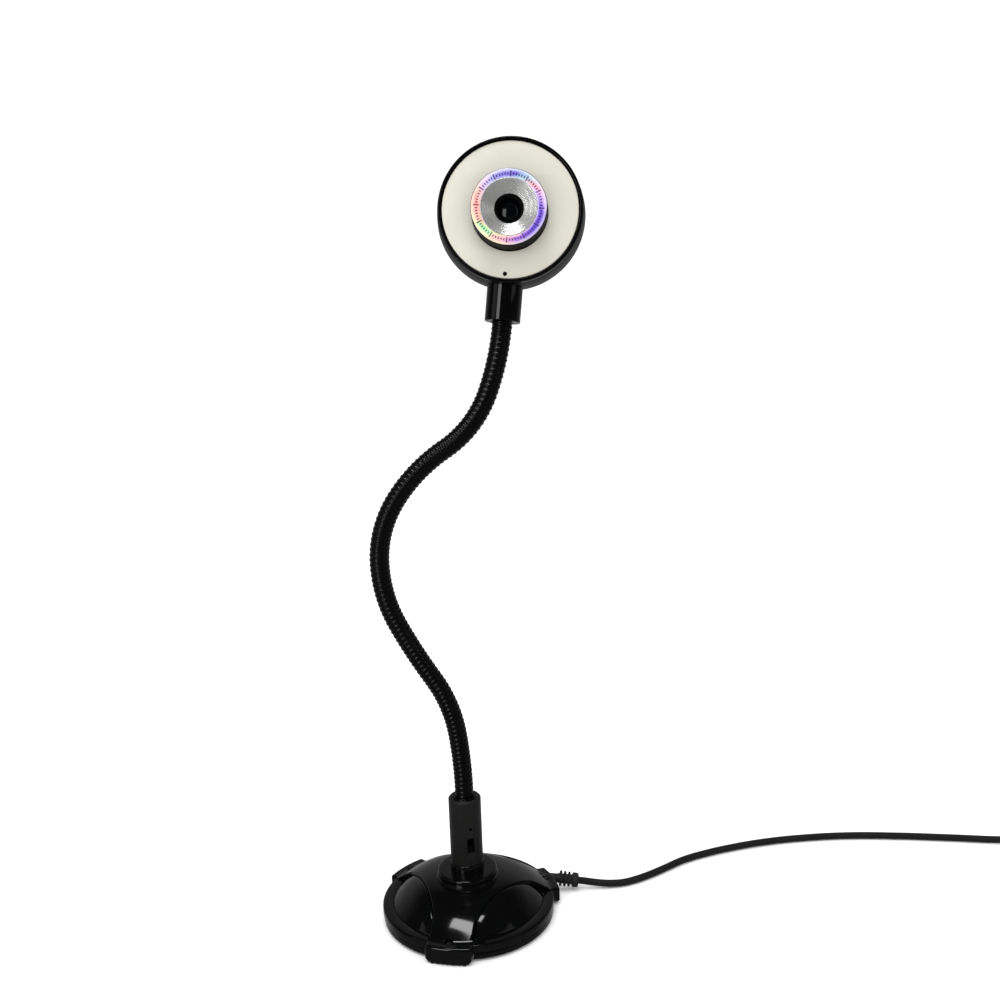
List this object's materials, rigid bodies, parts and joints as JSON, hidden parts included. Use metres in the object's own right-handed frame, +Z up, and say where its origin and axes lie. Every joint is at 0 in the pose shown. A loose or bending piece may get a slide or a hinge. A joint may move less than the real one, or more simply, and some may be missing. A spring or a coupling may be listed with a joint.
{
  "type": "webcam on bendable neck with weighted base",
  "caption": "Round webcam head with a turning focus ring on a bendable neck and short stem, standing on a weighted round base with foot tabs; its USB lead is tied in a coil.",
  "frame": {"origin": "on the surface it stands on, at the stem's axis", "axes": "+Z up along the stem, the lens looks along -Y, +X to the camera's left, where the lead leaves"},
  "size_m": [0.4548, 0.1563, 0.3914],
  "materials": {
    "gloss_black": "polished moulded plastic",
    "satin_black": "satin moulded plastic",
    "shell_grey": "satin moulded plastic, fine texture",
    "plate_grey": "satin paint, warm light grey",
    "sleeve_black": "ribbed flexible sleeve, satin",
    "neck_steel": "plain steel",
    "cone_silver": "turned, fine concentric grooves",
    "rainbow_foil": "iridescent foil ring",
    "lens_black": "dull black, anti-glare",
    "lens_clear": "coated glass",
    "board_green": "circuit board lacquer",
    "sensor_dark": "sensor under a clear cover",
    "screw_steel": "plated steel",
    "ballast_iron": "cast iron, dull",
    "pad_rubber": "soft rubber",
    "lead_black": "flexible lead sheath, satin",
    "plug_black": "moulded plug grip",
    "plug_white": "contact carrier",
    "light_clear": "frosted light pipe"
  },
  "bodies": {
    "base": {"base_tray": "gloss_black", "base_rim": "gloss_black", "base_cover": "gloss_black", "base_panel_1": "gloss_black", "base_panel_2": "gloss_black", "base_panel_3": "gloss_black", "foot_tab_1": "gloss_black", "foot_tab_2": "gloss_black", "foot_tab_3": "gloss_black", "tab_pins": "screw_steel", "foot_pads": "pad_rubber", "boss_disc": "gloss_black", "stem_socket": "gloss_black", "stem_tube": "satin_black", "stem_bush": "satin_black", "ballast": "ballast_iron", "stem_nut": "screw_steel", "base_screws": "screw_steel", "switch_housing": "satin_black", "indicator_light": "light_clear", "cable_gland": "pad_rubber", "neck_link_0": "neck_steel", "neck_sleeve_1": "sleeve_black", "lead_run": "lead_black", "lead_coil": "lead_black", "lead_tail": "lead_black", "coil_tie": "plug_black", "plug_body": "plug_black", "plug_shell": "screw_steel", "plug_tongue": "plug_white"},
    "switch": {"switch_slider": "gloss_black"},
    "neck_1": {"neck_link_1": "neck_steel", "neck_sleeve_2": "sleeve_black"},
    "neck_2": {"neck_link_2": "neck_steel", "neck_sleeve_3": "sleeve_black"},
    "neck_3": {"neck_link_3": "neck_steel", "neck_sleeve_4": "sleeve_black"},
    "neck_4": {"neck_link_4": "neck_steel", "neck_sleeve_5": "sleeve_black"},
    "neck_5": {"neck_link_5": "neck_steel", "neck_sleeve_6": "sleeve_black"},
    "neck_6": {"neck_link_6": "neck_steel", "neck_sleeve_7": "sleeve_black"},
    "neck_7": {"neck_link_7": "neck_steel", "neck_sleeve_8": "sleeve_black"},
    "head": {"neck_link_8": "neck_steel", "head_collar": "gloss_black", "rear_shell": "shell_grey", "bezel_ring": "gloss_black", "face_plate": "plate_grey", "lens_mount": "lens_black", "camera_board": "board_green", "image_sensor": "sensor_dark", "microphone": "screw_steel", "case_screws": "screw_steel"},
    "focus": {"focus_barrel": "gloss_black", "hologram_ring": "rainbow_foil", "lens_cone": "cone_silver"},
    "lens": {"lens_cell": "lens_black", "lens_glass": "lens_clear"}
  },
  "joints": [
    {"name": "neck_bend_1", "type": "hinge", "parent": "base", "child": "neck_1", "pos_m": [-0.00052, -0.00033, 0.08389], "axis": [-0.0012, 0.9992, 0.0392], "range_deg": [-25, 35], "deforming": ["neck_sleeve_1"]},
    {"name": "neck_bend_2", "type": "hinge", "parent": "neck_1", "child": "neck_2", "pos_m": [-0.00585, -0.00278, 0.11705], "axis": [0.9456, -0.0228, 0.3247], "range_deg": [-28, 22], "deforming": ["neck_sleeve_2"]},
    {"name": "neck_bend_3", "type": "hinge", "parent": "neck_2", "child": "neck_3", "pos_m": [-0.02126, -0.00624, 0.14687], "axis": [-0.0182, 0.9932, 0.1146], "range_deg": [-35, 25], "deforming": ["neck_sleeve_3"]},
    {"name": "neck_bend_4", "type": "hinge", "parent": "neck_3", "child": "neck_4", "pos_m": [-0.03396, -0.01005, 0.17784], "axis": [0.9781, -0.0065, 0.2081], "range_deg": [-22, 22], "deforming": ["neck_sleeve_4"]},
    {"name": "neck_bend_5", "type": "hinge", "parent": "neck_4", "child": "neck_5", "pos_m": [-0.03305, -0.01315, 0.21111], "axis": [-0.0167, 0.9966, 0.0804], "range_deg": [-55, 4], "deforming": ["neck_sleeve_5"]},
    {"name": "neck_bend_6", "type": "hinge", "parent": "neck_5", "child": "neck_6", "pos_m": [-0.01494, -0.0145, 0.23919], "axis": [0.6948, 0.0613, -0.7166], "range_deg": [-20, 24], "deforming": ["neck_sleeve_6"]},
    {"name": "neck_bend_7", "type": "hinge", "parent": "neck_6", "child": "neck_7", "pos_m": [0.01092, -0.01299, 0.26071], "axis": [-0.1047, 0.9945, -0.0082], "range_deg": [-2, 50], "deforming": ["neck_sleeve_7"]},
    {"name": "neck_bend_8", "type": "hinge", "parent": "neck_7", "child": "head", "pos_m": [0.02453, -0.00974, 0.29116], "axis": [0.9601, 0.1145, -0.2553], "range_deg": [-25, 25], "deforming": ["neck_sleeve_8"]},
    {"name": "focus_turn", "type": "hinge", "parent": "head", "child": "focus", "pos_m": [0.03255, -0.00844, 0.35702], "axis": [-0.0515, -0.9819, 0.1822], "range_deg": [-150, 150]},
    {"name": "focus_travel", "type": "slide", "parent": "head", "child": "lens", "axis": [-0.0515, -0.9819, 0.1822], "range_m": [-0.00051, 0.00051]},
    {"name": "switch_slide", "type": "slide", "parent": "base", "child": "switch", "axis": [0, 0, 1], "range_m": [0, 0.0034]}
  ],
  "couplings": [
    {"joint": "focus_travel", "follows": "focus_turn", "m_per_rad": 0.00019099}
  ]
}
